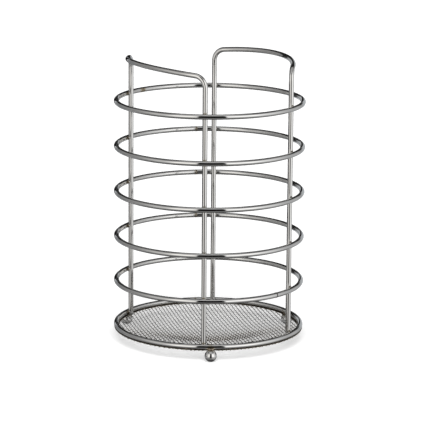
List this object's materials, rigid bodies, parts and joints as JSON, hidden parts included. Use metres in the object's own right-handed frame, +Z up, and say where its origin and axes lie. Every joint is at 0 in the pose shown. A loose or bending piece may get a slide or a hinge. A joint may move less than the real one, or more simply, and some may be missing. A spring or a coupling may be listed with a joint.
{
  "type": "utensil holder",
  "caption": "Round open holder of welded steel wire rings on two bent wire arches, with a woven wire floor and ball feet, for standing kitchen utensils in.",
  "frame": {"origin": "on the holder's axis, in the plane of the table that the three balls stand on", "axes": "+Z up along the holder's axis, +X to the right seen from the front foot, the front foot towards -Y"},
  "size_m": [0.15, 0.1547, 0.225],
  "materials": {
    "ring_wire": "polished, bright",
    "arch_wire": "polished, bright",
    "floor_mesh": "drawn wire, bright, woven",
    "foot_ball": "polished, bright",
    "weld": "bright, with a slight brown heat tint"
  },
  "bodies": {
    "root": {"hoop_1": "ring_wire", "hoop_2": "ring_wire", "hoop_3": "ring_wire", "hoop_4": "ring_wire", "hoop_5": "ring_wire", "base_ring": "ring_wire", "left_arch": "arch_wire", "right_arch": "arch_wire", "mesh_floor": "floor_mesh", "foot_front": "foot_ball", "foot_left": "foot_ball", "foot_right": "foot_ball", "hoop_1_welds": "weld", "hoop_2_welds": "weld", "hoop_3_welds": "weld", "hoop_4_welds": "weld", "hoop_5_welds": "weld", "base_ring_welds": "weld", "foot_welds": "weld", "mesh_welds": "weld"}
  },
  "joints": []
}
